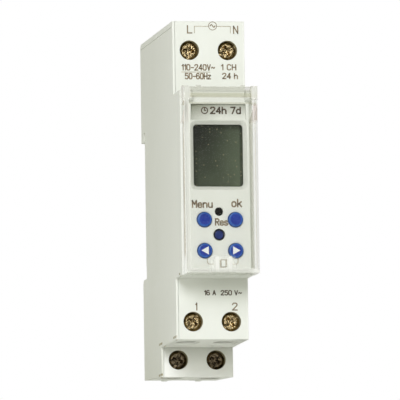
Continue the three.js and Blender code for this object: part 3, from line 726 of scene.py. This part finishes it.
def button(name):
    """A dished cap with a rounded rim, a flange behind the panel and a stem, in two blues: the rim's lighter blue is a
    painted highlight, and the sunk reset button's darker blues are painted shade.
    """
    cap = "button_" + name
    low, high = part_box(cap)
    centre = middle(cap)
    lip, thick, edge, stem = 0.45, 0.6, 0.32, 1.1  # flange beyond the cap, flange, edge rounding, stem, in mm
    r = (high.x - low.x) / 2 / MM - lip
    front, rear = low.y / MM, high.y / MM
    flange = FACE_Y / MM + 1.5
    dish = [(0, front + 0.05), (r * 0.35, front + 0.045), (r * 0.6, front + 0.02), (r * 0.74, front)]
    rim = [(r - edge + edge * math.sin(a), front + edge - edge * math.cos(a))
           for a in (math.radians(15 * i) for i in range(1, 7))]
    rest = [(r, flange - 0.1), (r + 0.05, flange), (r + lip, flange), (r + lip, flange + thick),
            (stem, flange + thick), (stem, rear), (0, rear)]
    mesh = smooth(turned(dish + rim + rest), 40)
    mesh.transform(Matrix.Translation((centre.x, 0, centre.z)))
    # The sunk reset button gets darker blues as painted shade.
    deep = name == "reset"
    cap_piece = piece("cap_" + name, mesh, name + "_key", SHADED_BLUE if deep else BLUE,
                      [cap])
    cap_piece.data.materials.append(SHADED_RIM if deep else LIT_BLUE_RIM)
    for face in mesh.polygons:
        out = math.hypot(face.center.x - centre.x, face.center.z - centre.z) / MM
        face.material_index = 1 if out > r * 0.72 else 0


def arrow(name, way):
    """The white triangle printed on a button; way is -1 to point left and 1 to point right."""
    low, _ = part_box("button_" + name)
    centre = middle("button_" + name) / MM
    tip, back, half = 1.0 * way, -0.82 * way, 1.0
    outline = [(centre.x + tip, centre.z), (centre.x + back, centre.z + half), (centre.x + back, centre.z - half)]
    front = low.y / MM - INK
    piece("arrow_" + name, prism(outline, front, front + 0.12), name + "_key", WHITE_INK)


# ---- Terminal screws ----

def screw_mesh():
    """A cheese-head clamp screw with a combined cross and slot; the front of its head is at y = 0."""
    head = [(0, 0.10), (0.9, 0.07), (1.45, 0.0), (1.62, 0.02), (1.72, 0.10), (2.08, 0.46), (2.24, 0.66), (2.26, 0.85),
            (2.26, 1.85), (2.1, 2.0)]
    neck = [(1.45, 2.0), (1.45, 2.3)]
    thread = []
    y, pitch = 2.3, 0.6
    while y < 8.0:
        thread += [(1.7, y + 0.22), (1.7, y + 0.30), (1.42, y + 0.52), (1.42, y + pitch)]
        y += pitch
    tip = [(1.3, 8.5), (1.1, 8.8), (0, 8.8)]
    blank = turned(head + neck + thread + tip, 48)

    def wing(half_wide, reach, deep, taper):
        """A bar across the head that narrows as it goes down."""
        bm = bmesh.new()
        rows = []
        for y, narrow in ((-0.5, -0.15), (deep, taper)):
            w, l = half_wide - narrow, reach - narrow * 1.6
            rows.append([bm.verts.new((sx * w * MM, y * MM, sz * l * MM))
                         for sx, sz in ((-1, -1), (1, -1), (1, 1), (-1, 1))])
        bm.faces.new(rows[0])
        bm.faces.new(rows[1][::-1])
        for i in range(4):
            j = (i + 1) % 4
            bm.faces.new((rows[0][i], rows[1][i], rows[1][j], rows[0][j]))
        return built(bm, "wing")

    slot = wing(0.36, 2.6, 0.85, 0.02)
    across, along = (wing(0.45, 1.35, 1.35, 0.28) for _ in range(2))
    across.transform(Matrix.Rotation(math.pi / 2, 4, "Y"))
    worn = add("worn", carve(blank, [slot, across, along]))
    bevelled(worn, 0.05, 2, 40)
    return smooth(mesh_of(worn), 28)


# How far each head is turned, in degrees.
SCREW_TURNS = {"live": 5, "neutral": 62, "front_left": 35, "front_right": 50, "low_left": 20, "low_right": 28}


def screws():
    shared = screw_mesh()
    for name in TERMINALS:
        node = "screw_" + name
        centre = middle(node)
        mesh = shared.copy()
        place = Matrix.Translation((centre.x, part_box(node)[0].y, centre.z))
        mesh.transform(place @ Matrix.Rotation(math.radians(SCREW_TURNS[name]), 4, "Y"))
        # The lowest screws get the darker brass as painted shade.
        brass = SHADED_BRASS if name.startswith("low") else BRASS
        piece("terminal_" + node, mesh, name + "_screw", brass, [node])


# ---- Latch spring ----

def latch_spring():
    """A round-wire spring with closed ends, built at its rest length on the housing; the real one shortens as the
    latch is pulled down.
    """
    low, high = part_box("latch_spring")
    centre = middle("latch_spring")
    wire = 0.2 * MM  # half its thickness
    reach = (high.x - low.x) / 2 - wire
    tall = high.z - low.z - 2 * wire
    turns, steps, sides = 7.5, 28, 10
    closed = 0.9  # how much of a turn lies shut at each end
    shut = 2.05 * wire  # the rise of a turn that lies against the next one
    bm = bmesh.new()
    rings = []
    for i in range(int(turns * steps) + 1):
        turn = i / steps
        share = min(1.0, max(0.0, (turn - closed) / (turns - 2 * closed)))
        rise = shut * min(turn, closed) + shut * max(0.0, turn - (turns - closed)) + share * (tall - 2 * closed * shut)
        a = 2 * math.pi * turn
        out = Vector((math.cos(a), math.sin(a), 0))
        middle_of_wire = Vector((centre.x, centre.y, low.z + wire + rise)) + out * reach
        ring = []
        for k in range(sides):
            b = 2 * math.pi * k / sides
            ring.append(bm.verts.new(middle_of_wire + out * wire * math.cos(b) + Vector((0, 0, wire * math.sin(b)))))
        rings.append(ring)
    for one, two in zip(rings, rings[1:]):
        for k in range(sides):
            m = (k + 1) % sides
            bm.faces.new((one[k], one[m], two[m], two[k]))
    bm.faces.new(rings[0][::-1])
    bm.faces.new(rings[-1])
    spring = piece("spring_wire", smooth(built(bm, "spring_wire"), 50), "housing", STEEL,
                   ["latch_spring"])
    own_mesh(spring)


# ---- Printing ----

# Single-stroke letters as paths on a grid where capitals are 6 tall and small letters 4.
CAPITAL, GAP = 6, 1.7  # a capital's height and the room between letters
ARCH = [(0, 3), (1.1, 4), (2.6, 4), (3.6, 3), (3.6, 0)]
GLYPHS = {
    "0": [[(1, 0), (3, 0), (4, 1), (4, 5), (3, 6), (1, 6), (0, 5), (0, 1), (1, 0)]],
    "1": [[(0.3, 4.7), (1.7, 6), (1.7, 0)]],
    "2": [[(0, 4.7), (0.4, 5.6), (1.2, 6), (2.8, 6), (3.6, 5.6), (4, 4.8), (3.8, 3.9), (0, 0), (4, 0)]],
    "4": [[(3, 0), (3, 6), (0, 1.8), (4, 1.8)]],
    "5": [[(3.8, 6), (0.4, 6), (0.2, 3.4), (1.2, 3.8), (2.8, 3.8), (4, 2.8), (4, 1), (3, 0), (1, 0), (0, 0.8)]],
    "6": [[(3.6, 5.4), (2.8, 6), (1.2, 6), (0, 4.8), (0, 1), (1, 0), (3, 0), (4, 1), (4, 2.6), (3, 3.5), (1, 3.5),
           (0, 2.7)]],
    "7": [[(0, 6), (4, 6), (1.4, 0)]],
    "A": [[(0, 0), (2, 6), (4, 0)], [(0.7, 2), (3.3, 2)]],
    "C": [[(4, 5), (3, 6), (1, 6), (0, 5), (0, 1), (1, 0), (3, 0), (4, 1)]],
    "H": [[(0, 0), (0, 6)], [(4, 0), (4, 6)], [(0, 3), (4, 3)]],
    "L": [[(0, 6), (0, 0), (3.6, 0)]],
    "M": [[(0, 0), (0, 6), (2, 2.8), (4, 6), (4, 0)]],
    "N": [[(0, 0), (0, 6), (4, 0), (4, 6)]],
    "R": [[(0, 0), (0, 6), (2.8, 6), (4, 5.2), (4, 3.9), (2.8, 3.1), (0, 3.1)], [(2, 3.1), (4, 0)]],
    "V": [[(0, 6), (2, 0), (4, 6)]],
    "d": [[(3.6, 6), (3.6, 0)], [(3.6, 1), (2.7, 0), (1, 0), (0, 1), (0, 3), (1, 4), (2.7, 4), (3.6, 3)]],
    "e": [[(0, 2.1), (3.6, 2.1), (3.6, 3), (2.6, 4), (1, 4), (0, 3), (0, 1), (1, 0), (2.8, 0), (3.5, 0.7)]],
    "h": [[(0, 0), (0, 6)], ARCH],
    "k": [[(0, 0), (0, 6)], [(3.3, 4), (0, 1.6)], [(1.3, 2.5), (3.5, 0)]],
    "n": [[(0, 0), (0, 4)], ARCH],
    "o": [[(1, 0), (2.6, 0), (3.6, 1), (3.6, 3), (2.6, 4), (1, 4), (0, 3), (0, 1), (1, 0)]],
    "s": [[(3.3, 3.4), (2.6, 4), (0.9, 4), (0.1, 3.3), (0.1, 2.7), (0.9, 2.2), (2.6, 1.9), (3.4, 1.3), (3.4, 0.7),
           (2.6, 0), (0.8, 0), (0, 0.6)]],
    "u": [[(0, 4), (0, 1), (1, 0), (2.5, 0), (3.6, 1)], [(3.6, 4), (3.6, 0)]],
    "z": [[(0.1, 4), (3.4, 4), (0, 0), (3.5, 0)]],
    "-": [[(0.2, 2.7), (3.4, 2.7)]],
    "~": [[(0, 2.4), (0.8, 3.2), (1.6, 3.1), (2.6, 2.3), (3.4, 2.2), (4.2, 3.0)]],
    " ": [[(0, 0), (1.6, 0)]],
}


SHARP = -0.25  # a path is cut where it turns so far that the cosine of the turn is below this
STROKE_END = 0.4  # how far a stroke reaches beyond its last point, in stroke widths


def parts(path):
    """The path cut at its sharp corners."""
    pts = [Vector(p) for p in path]
    runs, run = [], [pts[0]]
    for i, p in enumerate(pts[1:], 1):
        run.append(p)
        if i + 1 < len(pts) and (p - pts[i - 1]).normalized().dot((pts[i + 1] - p).normalized()) < SHARP:
            runs.append(run)
            run = [p]
    return runs + [run]


def stroke(bm, path, y, width):
    """A flat mitred line along (x, z) points; a path that ends where it starts is closed."""
    closed = path[0] == path[-1] and len(path) > 2
    pts = path[:-1] if closed else path
    sides = []
    for i, p in enumerate(pts):
        before = pts[i - 1] if i or closed else None
        after = pts[(i + 1) % len(pts)] if i + 1 < len(pts) or closed else None
        one = (p - before).normalized() if before is not None else (after - p).normalized()
        two = (after - p).normalized() if after is not None else one
        across = Vector((-(one.y + two.y), one.x + two.x)) / (1 + one.dot(two))
        end = Vector((0, 0))
        if before is None or after is None:
            end = one * width * STROKE_END * (1 if after is None else -1)
        sides.append((p + end + across * width / 2, p + end - across * width / 2))
    rows = [[bm.verts.new((v.x * MM, (y + d) * MM, v.y * MM)) for d in (-INK, INK) for v in pair]
            for pair in sides]
    spans = list(zip(rows, rows[1:])) + ([(rows[-1], rows[0])] if closed else [])
    for a, b in spans:
        for i, j in ((0, 1), (1, 3), (3, 2), (2, 0)):
            bm.faces.new((a[i], a[j], b[j], b[i]))
    if not closed:
        bm.faces.new([rows[0][i] for i in (0, 2, 3, 1)])
        bm.faces.new([rows[-1][i] for i in (0, 1, 3, 2)])


def ink(name, paths, y, width, material=BROWN_INK):
    """One printed piece made of strokes, all in millimetres."""
    bm = bmesh.new()
    for path in paths:
        for part in parts(path):
            stroke(bm, part, y, width)
    piece(name, built(bm, name), "housing", material)


def ink_text(name, words, left, right, foot, tall, y, width=0.28, material=BROWN_INK):
    """Words that fill the room from left to right, with their foot at a level; tall is a capital's height."""
    places, pen = [], 0.0
    for letter in words:
        places.append((pen, GLYPHS[letter]))
        pen += max(x for path in GLYPHS[letter] for x, _ in path) + GAP
    across = (right - left - width) / (pen - GAP)
    up = (tall - width) / CAPITAL
    paths = [[(left + width / 2 + (start + x) * across, foot + width / 2 + z * up) for x, z in path]
             for start, glyph in places if glyph is not GLYPHS[" "] for path in glyph]
    ink(name, paths, y, width, material)


def circle(cx, cz, r):
    """A closed path of 24 sides."""
    points = [(cx + r * math.cos(a), cz + r * math.sin(a)) for a in (math.radians(15 * i) for i in range(24))]
    return points + points[:1]


def printed_marks():
    block = SHOULDER_Y / MM - INK
    panel = FACE_Y / MM - INK
    strip = panel + 0.8  # the label recess above the display
    # Supply terminals: letters joined through a ring with the sign for alternating current.
    ink_text("mark_live", "L", -5.25, -3.9, 37.45, 2.05, block)
    ink_text("mark_neutral", "N", 6.15, 7.45, 37.4, 2.05, block)
    ink("mark_ring", [circle(1.1, 39.35, 1.0)], block, 0.15)
    ink("mark_wave", [[(1.1 + 0.62 * (i / 6 - 1), 39.35 + 0.3 * math.sin(math.pi * i / 6)) for i in range(13)]],
        block, 0.24)
    ink("mark_leads", [[(0.05, 39.25), (-3.4, 39.25), (-3.4, 37.6)], [(2.15, 39.25), (5.5, 39.25), (5.5, 37.6)]],
        block, 0.15, FAINT_INK)
    ink_text("mark_volts", "110-240V~", -6.75, 1.6, 28.35, 1.6, block)
    ink("mark_rule", [[(-6.7, 28.0), (0.3, 28.0)]], block, 0.16, FAINT_INK)
    ink_text("mark_hertz", "50-60Hz", -5.95, 0.55, 26.2, 1.6, block)
    ink_text("mark_relay", "1 CH", 3.0, 6.85, 28.45, 1.55, block)
    ink_text("mark_range", "24 h", 3.3, 7.2, 26.3, 1.55, block)
    # Output terminals.
    ink_text("mark_load", "16 A  250 V~", -1.95, 7.4, -26.65, 1.3, block, 0.24, DARK_INK)
    ink_text("mark_one", "1", -4.2, -3.65, -30.35, 1.95, block)
    ink_text("mark_two", "2", 4.9, 6.3, -30.35, 1.95, block)
    # Front panel.
    ink_text("mark_hours", "24h 7d", -1.9, 5.7, 16.3, 1.85, strip, 0.36, DARK_INK)
    ink("mark_clock", [circle(-3.25, 17.2, 0.76), [(-3.25, 17.75), (-3.25, 17.2), (-2.9, 17.2)]],
        strip, 0.26, DARK_INK)
    ink_text("mark_menu", "Menu", -6.85, -1.7, -6.65, 1.95, panel, 0.34)
    ink_text("mark_ok", "ok", 2.85, 5.5, -6.45, 2.1, panel, 0.34)
    ink_text("mark_reset", "Res", -1.25, 2.0, -10.95, 1.85, panel, 0.34)
    ink("mark_brackets", [[(-3.2, -19.0), (-3.2, -19.9), (-2.85, -20.25), (-1.4, -20.25)],
                          [(4.3, -19.0), (4.3, -19.9), (3.95, -20.25), (2.4, -20.25)]], panel, 0.17, FAINT_INK)


# ---- The whole model ----

scene.view_settings.view_transform = "Standard"
make_camera()
make_world()
make_floor()
area_light("key", azimuth=-15, elevation=19, distance=1.3, size=0.5, power=8.3, color=(0.96, 0.97, 1.0))
area_light("fill", azimuth=40, elevation=-2, distance=1.6, size=0.9, power=1.0, color=(1.0, 1.0, 0.97))
area_light("back", azimuth=150, elevation=30, distance=1.6, size=0.9, power=5.0, color=(1.0, 1.0, 0.98))

dress_frame_nodes()
for name in BUTTONS:
    button(name)
arrow("left", -1)
arrow("right", 1)
screws()
latch_spring()
printed_marks()

bpy.context.view_layer.update()
